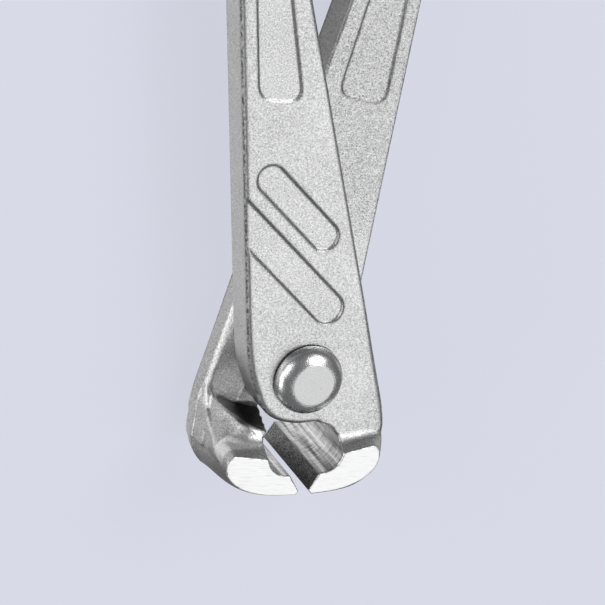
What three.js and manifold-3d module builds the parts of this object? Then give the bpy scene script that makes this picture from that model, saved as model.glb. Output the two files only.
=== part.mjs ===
// Concreters' nippers, closed lap joint, drawn in millimetres.
// The pivot axis is +Z, the handles point to +Y, the jaws to -Y. The tool lies flat, with Z = 0 on the bench.
// Both levers are the same forging: the rear one is the front one turned half a turn about the Y axis.
import * as THREE from "three";
import { mergeVertices } from "three/addons/utils/BufferGeometryUtils.js";
import Module from "manifold-3d";

const wasm = await Module();
wasm.setup();

// Whole tool
const OVERALL_LENGTH = 300;
const JAW_WIDTH = 26; // along the cutting edges
const JAW_REACH = 24.5; // pivot to the ground end of the jaws
const REST_OPENING = 5.34; // degrees between the levers as drawn
const RUN_CLEARANCE = 0.3; // between pieces that slide or seat

// Joint plate of one lever
const PLATE_THICKNESS = 9.15;
const PLATE_END_RADIUS = 10.9; // round end about the pivot
const PLATE_END_FROM = 194; // degrees about the pivot
const PLATE_END_TO = 285;
const PLATE_EDGE_ROUND = 1.3;
const OUTER_EDGE_OFFSET = 12.2; // outer edge from the pivot, measured across
const OUTER_EDGE_LEAN = 3.52; // degrees, outwards
const OUTER_EDGE_FOOT = 9; // where the straight outer edge starts
const INNER_EDGE_OFFSET = 15.26;
const INNER_EDGE_LEAN = 12.77; // degrees, towards the outer edge
const INNER_EDGE_FOOT = -3.5; // where the straight inner edge ends
const INNER_EDGE_TOP = 80; // from here the inner edge bends parallel to the outer one
const EDGE_RELIEF_WIDTH = 2.4; // forged slope on the joint side of the jaw's outer edge
const EDGE_RELIEF_HEIGHT = 4;
const EDGE_RELIEF_TOP = 16;

// Jaw
const JAW_HALF_SPREAD = 17.4; // at the parting line
const JAW_SIDE_TOP = 12.5; // below the pivot, where the jaw's outer side turns upright
const EDGE_REACH = 23.5; // pivot to the cutting edge
const EDGE_LAND = 0.8; // blunt land behind the edge
const THROAT_RADIUS = 5.1;
const THROAT_X = 2.9;
const THROAT_Y = 15;
const BEVEL_START = -96; // degrees on the throat circle
const THROAT_END = 150; // degrees on the throat circle, past the plate's end
const PARTING_HEIGHT = 4.5; // above the joint plane, where the jaw's end is fullest
const NOSE_TOP = 14.4; // below the pivot, foot of the riser
const NOSE_CORNER_X = 4; // centre of the elliptic corner
const NOSE_CORNER_Y = 18;
const NOSE_DEPTH = 29; // forged depth at the parting line, before the end is ground
const NOSE_SHOULDER = 3;
const FACET_SETBACK = 1.5; // how far the ground faces stand in from the jaw's side
const FACET_DEPTH = 25; // forged depth at the ground faces
const RISER_LEAN = 1.2;
const COVE_RADIUS = 2.2;
const COVE_SETBACK = 2.4; // the cove's end, in from the jaw's side

// Shoulder of the jaw, on the side of the other lever's plate
const WALL_GAP = 1.5; // between the shoulder wall and the other plate's end
const WALL_TILT = 18.7; // degrees
const SHOULDER_HEIGHT = 9;
const CHEEK_HALF_WIDTH = 9.4;
const CHEEK_DROP = 4; // the cheek's widest line, past the joint plane
const CHEEK_Y = 10;
const CHEEK_SLOPE = 0.9; // rise of the cheek towards the jaw's end

// Rivet
const RIVET_SHANK = 5;
const RIVET_HEAD_RADIUS = 7.4;
const RIVET_FLAT_RADIUS = 4.5;
const RIVET_FLAT_EDGE = 1.2; // how far the dome falls short of the flat, carried on straight

// Handle
const HANDLE_START = 104;
const HANDLE_WIDTH = 11.8;
const HANDLE_THICKNESS = 9.15;
const HANDLE_ROUND = 3;
const HANDLE_BOW = 1.6;
const CRANK_LENGTH = 46; // here both handles come into one plane

// Grip
const GRIP_START = 156;
const GRIP_WALL = 1.5;
const GRIP_LIP = 1.2; // extra wall of the rim at the grip's front
const GRIP_LIP_LENGTH = 9;
const GRIP_END_ROUND = 3;

// Pressed panels of the handle and bare fields of the front plate
const PANEL_DEPTH = 0.8;
const PANEL_MARGIN = 3.1;
const PANEL_FOOT_FRONT = 59.4;
const PANEL_FOOT_BACK = 55;
const PANEL_TOP = 98;
const PANEL_FOOT_WIDTH = 8.4;
const PANEL_TOP_WIDTH = 5;
const PANEL_CORNER = 2.2;
const FIELD_DEPTH = 0.5;
const RECESS_DRAFT = 0.6; // slope of a recess's walls, width for depth
const RECESS_OVERSHOOT = 3; // height of a recess's cutter above the face, in depths
const FIELD_TILT = -47.6; // degrees
const UPPER_FIELD = { x: -3.7, y: 36.8, length: 23.6, width: 6.1 };
const LOWER_FIELD = { x: -8.2, y: 28.9, length: 41.5, width: 7.2 };

// Facets
const ROUND_SEGMENTS = 14;
const RIVET_SEGMENTS = 36;
const EDGE_SEGMENTS = 2;
const DOME_STEPS = 4;
const CROWN_STEP = 3.5;
const CRANK_STEP = 5;
const HANDLE_STEP = 13;
const LIP_STEP = 3;
const SAME_POINT = 1e-4;

// Worked out from the sizes above
const PLATE_LOW = RUN_CLEARANCE / 2;
const PLATE_HIGH = PLATE_LOW + PLATE_THICKNESS;
const HALF_JAW = JAW_WIDTH / 2;
const TOOL_END = OVERALL_LENGTH - JAW_REACH;
const HANDLE_END = TOOL_END - GRIP_WALL - RUN_CLEARANCE;
const OUTER_SLOPE = Math.tan(THREE.MathUtils.degToRad(OUTER_EDGE_LEAN));
const INNER_SLOPE = Math.tan(THREE.MathUtils.degToRad(INNER_EDGE_LEAN));
const FAR = OVERALL_LENGTH; // past every face, for cutters

const outerEdge = (y) => -(OUTER_EDGE_OFFSET + OUTER_SLOPE * y);
const innerEdge = (y) => INNER_EDGE_OFFSET - INNER_SLOPE * y;

// Closed three.js geometry as a solid that can be joined and cut.
function solid(geometry) {
  const bare = geometry.clone();
  bare.deleteAttribute("normal");
  bare.deleteAttribute("uv");
  const merged = mergeVertices(bare, SAME_POINT);
  const vertProperties = new Float32Array(merged.attributes.position.array);
  const triVerts = new Uint32Array(merged.index.array);
  return new wasm.Manifold(new wasm.Mesh({ numProp: 3, vertProperties, triVerts }));
}

// Solid back to a three.js geometry with flat faces.
function geometryOf(body) {
  const mesh = body.getMesh();
  const geometry = new THREE.BufferGeometry();
  geometry.setAttribute("position", new THREE.BufferAttribute(mesh.vertProperties, 3));
  geometry.setIndex(new THREE.BufferAttribute(mesh.triVerts, 1));
  const flat = geometry.toNonIndexed();
  flat.computeVertexNormals();
  return flat;
}

// A flat outline carried from z = low to z = high.
function prism(shape, low, high) {
  const options = { depth: high - low, bevelEnabled: false, curveSegments: ROUND_SEGMENTS };
  return new THREE.ExtrudeGeometry(shape, options).translate(0, 0, low);
}

// The same with rounded or sloped rims, which stay inside the outline and the two heights.
function rimmedPrism(shape, low, high, rimWidth, rimHeight, segments) {
  const options = {
    depth: high - low - 2 * rimHeight,
    bevelEnabled: true,
    bevelSize: rimWidth,
    bevelOffset: -rimWidth,
    bevelThickness: rimHeight,
    bevelSegments: segments,
    curveSegments: ROUND_SEGMENTS,
  };
  return new THREE.ExtrudeGeometry(shape, options).translate(0, 0, low + rimHeight);
}

// Polygon with its corners rounded by quadratic arcs of the given reach.
function roundedPolygon(corners, reach) {
  const shape = new THREE.Shape();
  corners.forEach((corner, i) => {
    const before = corners[(i + corners.length - 1) % corners.length];
    const after = corners[(i + 1) % corners.length];
    const start = corner.clone().add(before.clone().sub(corner).setLength(reach));
    const end = corner.clone().add(after.clone().sub(corner).setLength(reach));
    if (i === 0) shape.moveTo(start.x, start.y);
    else shape.lineTo(start.x, start.y);
    shape.quadraticCurveTo(corner.x, corner.y, end.x, end.y);
  });
  shape.closePath();
  return shape;
}

// Where the line from a with slope dx/dy = m meets the line from b with slope n.
function meeting(a, m, b, n) {
  const y = (b.x - a.x + m * a.y - n * b.y) / (m - n);
  return new THREE.Vector2(a.x + m * (y - a.y), y);
}

// Outer side of the jaw: it leaves its foot upright and runs into the straight inner edge of the plate.
function jawSide() {
  const foot = new THREE.Vector2(JAW_HALF_SPREAD, -JAW_SIDE_TOP);
  const hip = new THREE.Vector2(innerEdge(INNER_EDGE_FOOT), INNER_EDGE_FOOT);
  const third = (hip.y - foot.y) / 3;
  const upright = new THREE.Vector2(foot.x, foot.y + third);
  const leaning = new THREE.Vector2(innerEdge(hip.y - third), hip.y - third);
  return new THREE.CubicBezierCurve(foot, upright, leaning, hip);
}

// Outline of the joint plate with the jaw's side and the first stretch of the handle.
function plateShape() {
  const seamOuter = new THREE.Vector2(outerEdge(HANDLE_START), HANDLE_START);
  const seamInner = new THREE.Vector2(seamOuter.x + HANDLE_WIDTH, HANDLE_START);
  const bendStart = new THREE.Vector2(innerEdge(INNER_EDGE_TOP), INNER_EDGE_TOP);
  const bend = meeting(bendStart, -INNER_SLOPE, seamInner, -OUTER_SLOPE);
  const side = jawSide();
  const endStart = THREE.MathUtils.degToRad(PLATE_END_FROM);
  const endStop = THREE.MathUtils.degToRad(PLATE_END_TO);
  const shape = new THREE.Shape();
  shape.moveTo(outerEdge(HANDLE_START + PLATE_THICKNESS), HANDLE_START + PLATE_THICKNESS);
  shape.lineTo(outerEdge(OUTER_EDGE_FOOT), OUTER_EDGE_FOOT);
  const round = new THREE.Vector2(PLATE_END_RADIUS, 0).rotateAround(new THREE.Vector2(), endStart);
  const entry = meeting(
    new THREE.Vector2(outerEdge(OUTER_EDGE_FOOT), OUTER_EDGE_FOOT),
    -OUTER_SLOPE,
    round,
    -Math.tan(endStart),
  );
  shape.quadraticCurveTo(entry.x, entry.y, round.x, round.y);
  shape.absarc(0, 0, PLATE_END_RADIUS, endStart, endStop, false);
  shape.lineTo(THROAT_X + THROAT_RADIUS / 2, -NOSE_CORNER_Y);
  shape.lineTo(JAW_HALF_SPREAD - PLATE_EDGE_ROUND, -NOSE_CORNER_Y);
  shape.lineTo(JAW_HALF_SPREAD, PLATE_EDGE_ROUND - NOSE_CORNER_Y);
  shape.lineTo(side.v0.x, side.v0.y);
  shape.bezierCurveTo(side.v1.x, side.v1.y, side.v2.x, side.v2.y, side.v3.x, side.v3.y);
  shape.lineTo(bendStart.x, bendStart.y);
  shape.quadraticCurveTo(bend.x, bend.y, seamInner.x, seamInner.y);
  shape.lineTo(seamInner.x - OUTER_SLOPE * PLATE_THICKNESS, HANDLE_START + PLATE_THICKNESS);
  shape.closePath();
  return shape;
}

// Middle of the handle across the tool and in height, by distance along the tool.
function handleMiddle(y) {
  const seam = outerEdge(HANDLE_START) + HANDLE_WIDTH / 2;
  const along = (y - HANDLE_START) / (TOOL_END - HANDLE_START);
  const bow = (HANDLE_BOW * (1 - Math.cos(2 * Math.PI * along))) / 2;
  const crank = THREE.MathUtils.smootherstep(y, HANDLE_START, HANDLE_START + CRANK_LENGTH);
  const plateMiddle = (PLATE_LOW + PLATE_HIGH) / 2;
  return { x: seam - OUTER_SLOPE * (y - HANDLE_START) - bow, z: plateMiddle * (1 - crank), crank };
}

// Closed ring of a rounded oblong section, as points of the plane y.
function oblongRing(y, middle, width, height, round) {
  const lean = Math.hypot(1, OUTER_SLOPE);
  const ring = [];
  for (let corner = 0; corner < 4; corner++) {
    const right = corner === 0 || corner === 3 ? 1 : -1;
    const up = corner < 2 ? 1 : -1;
    for (let step = 0; step <= EDGE_SEGMENTS; step++) {
      const turn = ((corner + step / EDGE_SEGMENTS) * Math.PI) / 2;
      const x = middle.x + right * (width / 2 - round * lean) + Math.cos(turn) * round * lean;
      const z = middle.z + up * (height / 2 - round) + Math.sin(turn) * round;
      ring.push(new THREE.Vector3(x, y, z));
    }
  }
  return ring;
}

// Skin over a row of rings, closed by a flat end at each side.
function loft(rings) {
  const size = rings[0].length;
  const points = rings.flat();
  const faces = [];
  for (let row = 0; row + 1 < rings.length; row++) {
    for (let i = 0; i < size; i++) {
      const a = row * size + i;
      const b = row * size + ((i + 1) % size);
      faces.push(a, a + size, b, b, a + size, b + size);
    }
  }
  const last = (rings.length - 1) * size;
  for (let i = 1; i + 1 < size; i++) {
    faces.push(0, i, i + 1);
    faces.push(last, last + i + 1, last + i);
  }
  return new THREE.BufferGeometry().setFromPoints(points).setIndex(faces);
}

// Evenly spaced values from one end to the other, at most a step apart.
function stations(from, to, step) {
  const count = Math.ceil(Math.abs(to - from) / step);
  return Array.from({ length: count + 1 }, (_, i) => THREE.MathUtils.lerp(from, to, i / count));
}

function handle() {
  const crankEnd = HANDLE_START + CRANK_LENGTH;
  const ys = [
    ...stations(HANDLE_START, crankEnd, CRANK_STEP),
    ...stations(crankEnd, HANDLE_END, HANDLE_STEP).slice(1),
  ];
  const rings = ys.map((y) => {
    const middle = handleMiddle(y);
    const height = THREE.MathUtils.lerp(PLATE_THICKNESS, HANDLE_THICKNESS, middle.crank);
    const round = THREE.MathUtils.lerp(PLATE_EDGE_ROUND, HANDLE_ROUND, middle.crank);
    return oblongRing(y, middle, HANDLE_WIDTH, height, round);
  });
  return solid(loft(rings));
}

// Joint plate: rounded rims, cut square where the handle goes on, with the forged slope of the jaw's edge.
function plate() {
  const rims = rimmedPrism(
    plateShape(), PLATE_LOW, PLATE_HIGH, PLATE_EDGE_ROUND, PLATE_EDGE_ROUND, EDGE_SEGMENTS,
  );
  const past = new THREE.BoxGeometry(FAR, FAR, FAR).translate(0, HANDLE_START + FAR / 2, 0);
  return solid(rims).subtract(solid(past)).subtract(edgeRelief());
}

// Slope on the joint side of the jaw's outer edge, running out up the plate.
function edgeRelief() {
  const foot = new THREE.Vector2(JAW_HALF_SPREAD, -JAW_REACH);
  const top = new THREE.Vector2(innerEdge(EDGE_RELIEF_TOP), EDGE_RELIEF_TOP);
  const edges = [foot, ...jawSide().getPoints(ROUND_SEGMENTS), top];
  const rings = edges.map((edge) => {
    const cut = edge === top ? 0 : 1; // the slope runs out at the top
    const inside = edge.x - EDGE_RELIEF_WIDTH * cut;
    const outside = edge.x + EDGE_RELIEF_WIDTH;
    const below = PLATE_LOW - EDGE_RELIEF_HEIGHT;
    const raised = PLATE_LOW + EDGE_RELIEF_HEIGHT * (1 + cut);
    return [
      new THREE.Vector3(inside, edge.y, PLATE_LOW),
      new THREE.Vector3(inside, edge.y, below),
      new THREE.Vector3(outside, edge.y, below),
      new THREE.Vector3(outside, edge.y, raised),
    ];
  });
  return solid(loft(rings));
}

// Share by which the jaw end is drawn in at a height: 0 at the parting line, and by a parabola
// to 1 at both ground faces.
function drawnIn(z) {
  const face = z < PARTING_HEIGHT ? -HALF_JAW : HALF_JAW;
  return ((z - PARTING_HEIGHT) / (face - PARTING_HEIGHT)) ** 2;
}

const jawSpread = (z) => JAW_HALF_SPREAD - FACET_SETBACK * drawnIn(z);

// Distance of the riser from the pivot: it leans back from the plate's height to the ground face.
function riserReach(z) {
  const past = Math.max(0, Math.abs(z) - PLATE_HIGH) / (HALF_JAW - PLATE_HIGH);
  return NOSE_TOP + RISER_LEAN * past;
}

// Outline of the jaw end at a height: an elliptic corner below and a rounded shoulder at the riser.
function noseRing(z) {
  const side = jawSpread(z);
  const top = riserReach(z);
  const depth = THREE.MathUtils.lerp(NOSE_DEPTH, FACET_DEPTH, drawnIn(z));
  const shape = new THREE.Shape();
  shape.moveTo(-NOSE_CORNER_X, -top);
  shape.lineTo(-NOSE_CORNER_X, -depth);
  shape.absellipse(
    NOSE_CORNER_X, -NOSE_CORNER_Y, side - NOSE_CORNER_X, depth - NOSE_CORNER_Y, -Math.PI / 2, 0, false, 0,
  );
  shape.quadraticCurveTo(side, -top, side - NOSE_SHOULDER, -top);
  return shape.getPoints(ROUND_SEGMENTS).map((point) => new THREE.Vector3(point.x, point.y, z));
}

// Jaw end over the full width, crowned between its two ground faces.
function nose() {
  const heights = [
    ...stations(HALF_JAW, PARTING_HEIGHT, CROWN_STEP),
    ...stations(PARTING_HEIGHT, -HALF_JAW, CROWN_STEP).slice(1),
  ];
  return solid(loft(heights.map(noseRing)));
}

// Hollow fillet between a face at the given height and the jaw end's riser,
// on one side (1 or -1) of the lever.
function cove(height, facing) {
  const top = height + COVE_RADIUS;
  const riser = riserReach(top);
  const foot = COVE_RADIUS - riser;
  const shape = new THREE.Shape();
  shape.moveTo(-NOSE_CORNER_Y, height - PLATE_EDGE_ROUND);
  shape.lineTo(foot, height - PLATE_EDGE_ROUND);
  shape.lineTo(foot, height);
  shape.absarc(foot, top, COVE_RADIUS, -Math.PI / 2, -Math.PI, true);
  shape.lineTo(-NOSE_CORNER_Y, top);
  shape.closePath();
  const end = JAW_HALF_SPREAD - COVE_SETBACK;
  const across = [THROAT_X * facing, end * facing].sort((a, b) => a - b);
  const axes = new THREE.Matrix4().makeBasis(
    new THREE.Vector3(0, 1, 0), new THREE.Vector3(0, 0, facing), new THREE.Vector3(facing, 0, 0),
  );
  return solid(prism(shape, across[0], across[1]).applyMatrix4(axes));
}

// Shoulder that carries the jaw past the joint plane: a wall that clears the other plate,
// and a rounded cheek.
function shoulder() {
  const tilt = THREE.MathUtils.degToRad(WALL_TILT);
  const away = PLATE_END_RADIUS + WALL_GAP;
  const wall = (along) => new THREE.Vector2(
    Math.sin(tilt) * away + Math.cos(tilt) * along, -Math.cos(tilt) * away + Math.sin(tilt) * along,
  );
  const side = jawSpread(-SHOULDER_HEIGHT);
  const wallEnd = wall((side - Math.sin(tilt) * away) / Math.cos(tilt));
  const shape = new THREE.Shape([
    wall(0), new THREE.Vector2(THROAT_X, -NOSE_CORNER_Y), new THREE.Vector2(side, -NOSE_CORNER_Y), wallEnd,
  ]);
  const block = rimmedPrism(
    shape, -SHOULDER_HEIGHT, PLATE_LOW + 2 * PLATE_EDGE_ROUND,
    PLATE_EDGE_ROUND / 2, PLATE_EDGE_ROUND, EDGE_SEGMENTS,
  );
  return solid(block).intersect(cheek());
}

// Space under the rounded cheek: an elliptic cylinder along the tool, sheared so that it rises
// towards the jaw's end.
function cheek() {
  const rise = SHOULDER_HEIGHT + CHEEK_DROP;
  const middle = JAW_HALF_SPREAD - CHEEK_HALF_WIDTH;
  const shape = new THREE.Shape();
  shape.moveTo(-middle, -FAR);
  shape.lineTo(JAW_HALF_SPREAD, -FAR);
  shape.lineTo(JAW_HALF_SPREAD, -CHEEK_DROP);
  shape.absellipse(middle, -CHEEK_DROP, CHEEK_HALF_WIDTH, rise, 0, Math.PI / 2, false, 0);
  shape.lineTo(-middle, rise - CHEEK_DROP);
  shape.closePath();
  const bar = prism(shape, -FAR, FAR);
  const lay = new THREE.Matrix4().makeBasis(
    new THREE.Vector3(1, 0, 0), new THREE.Vector3(0, 0, -1), new THREE.Vector3(0, 1, CHEEK_SLOPE),
  );
  return solid(bar.applyMatrix4(lay).translate(0, -CHEEK_Y, 0));
}

// Everything cut between the jaws: round throat, bevel, blunt land and the ground end.
function throatCutter() {
  const start = THREE.MathUtils.degToRad(BEVEL_START);
  const end = THREE.MathUtils.degToRad(THROAT_END);
  const shape = new THREE.Shape();
  shape.moveTo(-FAR, -FAR);
  shape.lineTo(FAR, -FAR);
  shape.lineTo(FAR, -JAW_REACH);
  shape.lineTo(EDGE_LAND, -JAW_REACH);
  shape.lineTo(0, -EDGE_REACH);
  shape.absarc(THROAT_X, -THROAT_Y, THROAT_RADIUS, start, end, false);
  shape.lineTo(-FAR, -THROAT_Y + THROAT_RADIUS * Math.sin(end));
  shape.closePath();
  return solid(prism(shape, -FAR, FAR));
}

// Recess with sloped walls, sunk by the depth into a face that looks up (facing 1) or down (facing -1).
function recess(shape, face, depth, facing) {
  const outside = RECESS_OVERSHOOT * depth;
  const low = facing > 0 ? face - depth : face - outside;
  const high = facing > 0 ? face + outside : face + depth;
  return solid(rimmedPrism(shape, low, high, RECESS_DRAFT * depth, depth, 1));
}

function panelShape(foot) {
  const left = (y) => outerEdge(y) + PANEL_MARGIN;
  return roundedPolygon(
    [
      new THREE.Vector2(left(foot), foot),
      new THREE.Vector2(left(foot) + PANEL_FOOT_WIDTH, foot),
      new THREE.Vector2(left(PANEL_TOP) + PANEL_TOP_WIDTH, PANEL_TOP),
      new THREE.Vector2(left(PANEL_TOP), PANEL_TOP),
    ],
    PANEL_CORNER,
  );
}

// Obround field, laid across the plate.
function fieldShape(field) {
  const half = (field.length - field.width) / 2;
  const radius = field.width / 2;
  const tilt = THREE.MathUtils.degToRad(FIELD_TILT);
  const along = new THREE.Vector2(Math.cos(tilt), Math.sin(tilt)).multiplyScalar(half);
  const shape = new THREE.Shape();
  for (const end of [1, -1]) {
    const turn = end > 0 ? tilt : tilt + Math.PI;
    const middle = new THREE.Vector2(field.x, field.y).addScaledVector(along, end);
    shape.absarc(middle.x, middle.y, radius, turn - Math.PI / 2, turn + Math.PI / 2, false);
  }
  shape.closePath();
  return shape;
}

function bore() {
  const hole = new THREE.CylinderGeometry(
    RIVET_SHANK + RUN_CLEARANCE, RIVET_SHANK + RUN_CLEARANCE, FAR, RIVET_SEGMENTS,
  );
  return solid(hole.rotateX(Math.PI / 2));
}

// One lever, closed, with its plate above the joint plane.
function lever(fields) {
  let body = plate().add(handle()).add(nose()).add(shoulder());
  body = body.add(cove(PLATE_HIGH, 1)).add(cove(SHOULDER_HEIGHT, -1).intersect(cheek()));
  body = body.subtract(throatCutter()).subtract(bore());
  body = body.subtract(recess(panelShape(PANEL_FOOT_FRONT), PLATE_HIGH, PANEL_DEPTH, 1));
  body = body.subtract(recess(panelShape(PANEL_FOOT_BACK), PLATE_LOW, PANEL_DEPTH, -1));
  fields.forEach((field) => {
    body = body.subtract(recess(fieldShape(field), PLATE_HIGH, FIELD_DEPTH, 1));
  });
  return geometryOf(body);
}

// Sleeve over the handle's end, closed at the end, with a thicker rim in front.
function grip() {
  const ring = (y, grow) => oblongRing(
    y, handleMiddle(y), HANDLE_WIDTH + 2 * grow, HANDLE_THICKNESS + 2 * grow, HANDLE_ROUND + grow,
  );
  const domeStart = TOOL_END - GRIP_END_ROUND;
  const rims = stations(GRIP_START, GRIP_START + GRIP_LIP_LENGTH, LIP_STEP);
  const ys = [...rims, ...stations(GRIP_START + GRIP_LIP_LENGTH, domeStart, HANDLE_STEP).slice(1)];
  const wall = RUN_CLEARANCE + GRIP_WALL;
  const rows = ys.map((y) => {
    const lip = 1 - THREE.MathUtils.smoothstep(y, GRIP_START, GRIP_START + GRIP_LIP_LENGTH);
    return ring(y, wall + GRIP_LIP * lip);
  });
  const dome = stations(0, Math.PI / 2, Math.PI / 2 / DOME_STEPS).slice(1).map((turn) => {
    return ring(domeStart + GRIP_END_ROUND * Math.sin(turn), wall - GRIP_END_ROUND * (1 - Math.cos(turn)));
  });
  const inside = stations(GRIP_START - GRIP_WALL, HANDLE_END + RUN_CLEARANCE, HANDLE_STEP);
  const pocket = inside.map((y) => ring(y, RUN_CLEARANCE));
  return geometryOf(solid(loft([...rows, ...dome])).subtract(solid(loft(pocket))));
}

// Rivet with a domed, flat-topped head on each side.
function rivet() {
  const under = PLATE_HIGH + RUN_CLEARANCE;
  const domeTop = new THREE.Vector2(RIVET_FLAT_RADIUS, HALF_JAW);
  const domeFoot = new THREE.Vector2(RIVET_HEAD_RADIUS, under);
  const bulge = new THREE.Vector2(RIVET_HEAD_RADIUS, HALF_JAW - RIVET_FLAT_EDGE);
  const dome = new THREE.QuadraticBezierCurve(domeFoot, bulge, domeTop);
  const upper = [new THREE.Vector2(RIVET_SHANK, under), ...dome.getPoints(ROUND_SEGMENTS / 2)];
  upper.push(new THREE.Vector2(0, HALF_JAW));
  const lower = upper.map((p) => new THREE.Vector2(p.x, -p.y)).reverse();
  const turned = new THREE.LatheGeometry([...lower, ...upper], RIVET_SEGMENTS);
  return geometryOf(solid(turned.rotateX(Math.PI / 2)));
}

const zincPlate = () => new THREE.MeshStandardMaterial({ color: 0xcfd0d2, roughness: 0.45, metalness: 0.9 });
const rivetSteel = () => new THREE.MeshStandardMaterial({ color: 0xc4c5c8, roughness: 0.3, metalness: 1 });
const dippedPlastic = () => new THREE.MeshStandardMaterial({ color: 0x2b2d30, roughness: 0.6, metalness: 0 });

function piece(name, geometry, material) {
  const mesh = new THREE.Mesh(geometry, material);
  mesh.name = name;
  return mesh;
}

const half = THREE.MathUtils.degToRad(REST_OPENING / 2);
const frontHalf = new THREE.Group();
frontHalf.rotation.z = half;
frontHalf.add(piece("front_lever", lever([UPPER_FIELD, LOWER_FIELD]), zincPlate()));
frontHalf.add(piece("front_grip", grip(), dippedPlastic()));

const rearHalf = new THREE.Group();
rearHalf.rotation.set(0, Math.PI, half);
rearHalf.rotation.order = "YZX";
rearHalf.add(piece("rear_lever", lever([]), zincPlate()));
rearHalf.add(piece("rear_grip", grip(), dippedPlastic()));

const nippers = new THREE.Group();
nippers.position.z = HALF_JAW;
nippers.add(frontHalf, rearHalf, piece("pivot_rivet", rivet(), rivetSteel()));

export default nippers;
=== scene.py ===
"""Concreters' nippers: two forged, zinc plated levers on a domed rivet, with plastic sleeves on the
handles.

Shapes are worked out in millimetres. A lever is drawn closed, with the pivot at the origin, its
plate above the joint plane z = 0 and its jaw at +x; the rear lever is the same one, turned half a
turn about the y axis."""

import math

import bpy
import numpy as np
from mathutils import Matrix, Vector


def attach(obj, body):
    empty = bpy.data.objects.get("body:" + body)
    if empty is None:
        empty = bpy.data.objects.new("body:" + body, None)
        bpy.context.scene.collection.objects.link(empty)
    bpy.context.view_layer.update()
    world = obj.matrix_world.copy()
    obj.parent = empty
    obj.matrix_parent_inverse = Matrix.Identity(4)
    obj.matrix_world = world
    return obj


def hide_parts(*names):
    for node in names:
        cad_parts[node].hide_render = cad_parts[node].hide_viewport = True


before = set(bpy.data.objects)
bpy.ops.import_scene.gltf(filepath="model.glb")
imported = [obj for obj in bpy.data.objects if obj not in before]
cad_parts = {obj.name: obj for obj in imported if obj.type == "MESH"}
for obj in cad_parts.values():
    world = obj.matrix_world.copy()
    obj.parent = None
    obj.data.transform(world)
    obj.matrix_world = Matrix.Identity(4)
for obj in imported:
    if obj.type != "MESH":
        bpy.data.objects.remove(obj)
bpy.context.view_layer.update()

# Sizes of the tool, in millimetres and degrees
MM = 0.001
HALF_JAW = 13.0
REST_HALF = math.radians(2.67)
TOOL_END = 275.5

PLATE_LOW, PLATE_HIGH = 0.15, 9.3
PLATE_END_RADIUS, PLATE_END_FLAT = 10.9, 0.5
PLATE_END_TURN, PLATE_END_FLATTER = (194, 285), (222, 258)
PLATE_RIM, END_RIM, JOINT_RIM, RIM_GROWTH = 0.95, 1.5, 0.5, (18, -2)
OUTER_OFFSET, OUTER_SLOPE = 12.4, 0.0615
INNER_OFFSET, INNER_SLOPE = 15.5, 0.2325
OUTER_FOOT, INNER_FOOT, INNER_TOP = 9.0, -4.5, 80.0
RELIEF_BEVEL, RELIEF_WIDTH, RELIEF_HEIGHT, RELIEF_ROUND = 1.1, 4.6, 3.0, 0.15
RELIEF_TOP, RELIEF_FADE, RELIEF_WIDENING, RELIEF_WIDER = 44.0, 18.0, 1.2, (5, -8)

JAW_SPREAD, JAW_SIDE_TOP = 17.9, 13.0
JAW_END, EDGE_REACH, EDGE_LAND = 24.5, 23.5, 0.8
THROAT = (2.75, -15.2)
THROAT_RADIUS = 4.8
THROAT_START, THROAT_STOP = math.radians(-96), math.radians(150)
NOSE_TOP, NOSE_DEPTH, FACET_DEPTH, NOSE_SHOULDER = 14.4, 28.5, 24.2, 2.2
NOSE_CORNER = (4.0, -18.0)
RISER_LEAN, RISER_SLANT = 1.3, 0.15
PARTING, FACET_INSET, CHAMFER_INSET, CHAMFER_RUN, SIDE_DRAFT = 4.5, 2.5, 1.2, 2.5, 0.015
COVE_FRONT, COVE_JOINT, COVE_MIDDLE, COVE_REACH = 2.2, 1.3, 11.0, 6.6
ARCH_MIDDLE, ARCH_RADII, ARCH_RISE = (11.5, -16.0), (5.6, 5.0), 1.4

WALL_AWAY, WALL_TILT, WALL_DRAFT = 12.0, math.radians(14), 0.17
WALL_END = 3.0
WALL_FILLET, FILLET_GROWTH, FILLET_GROWS, FILLET_ENDS, LEAST_FILLET = 0.6, 1.6, (10.5, 15.5), (0.3, 1.6), 0.02
CHEEK_TOP, CHEEK_FALL, CHEEK_EDGE, CREST_ROUND = 8.6, 3.4, 17.2, 0.7
RIDGE_Y, RIDGE_LOW, RIDGE_CLIMB, RIDGE_BEND, RIDGE_ROUND = -8.0, -3.0, 0.59, 0.062, 0.4
LEDGE_WIDTH, LEDGE_FALL, LEDGE_TOP, LEDGE_FOOT = 1.4, 0.7, -11.0, -17.0

HANDLE_START, HANDLE_END, HANDLE_OVERLAP, CRANK_LENGTH = 104.0, 273.7, 6, 46.0
HANDLE_HALF_WIDTH, HANDLE_HALF_THICKNESS, HANDLE_ROUND, HANDLE_BOW = 5.9, 4.575, 3.0, 1.6

PANEL_MARGIN, PANEL_DEPTH, PANEL_TOP, PANEL_TOP_WIDTH, PANEL_CORNER = 3.1, 0.4, 98.0, 5.3, 3.2
FRONT_PANEL, BACK_PANEL = (59.4, 9.2, -0.8), (54.6, 10.6, 2.0)
FIELD_DEPTH, FIELD_TILT = 0.5, math.radians(-47.6)
UPPER_FIELD, LOWER_FIELD = (-3.7, 36.8, 23.6, 6.1), (-8.35, 28.05, 42.5, 6.8)
RECESS_DRAFT, RECESS_ROUND = 0.6, 0.15

BORE_RADIUS = 5.3
RIVET_SHANK, RIVET_HEAD, RIVET_FLAT, RIVET_UNDER = 5.0, 7.3, 4.35, 9.5
GRIP_START, GRIP_WALL, GRIP_LIP, GRIP_LIP_LENGTH, GRIP_END_ROUND = 156.0, 1.8, 1.2, 9.0, 3.0
GRIP_SQUARENESS = 0.62

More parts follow.
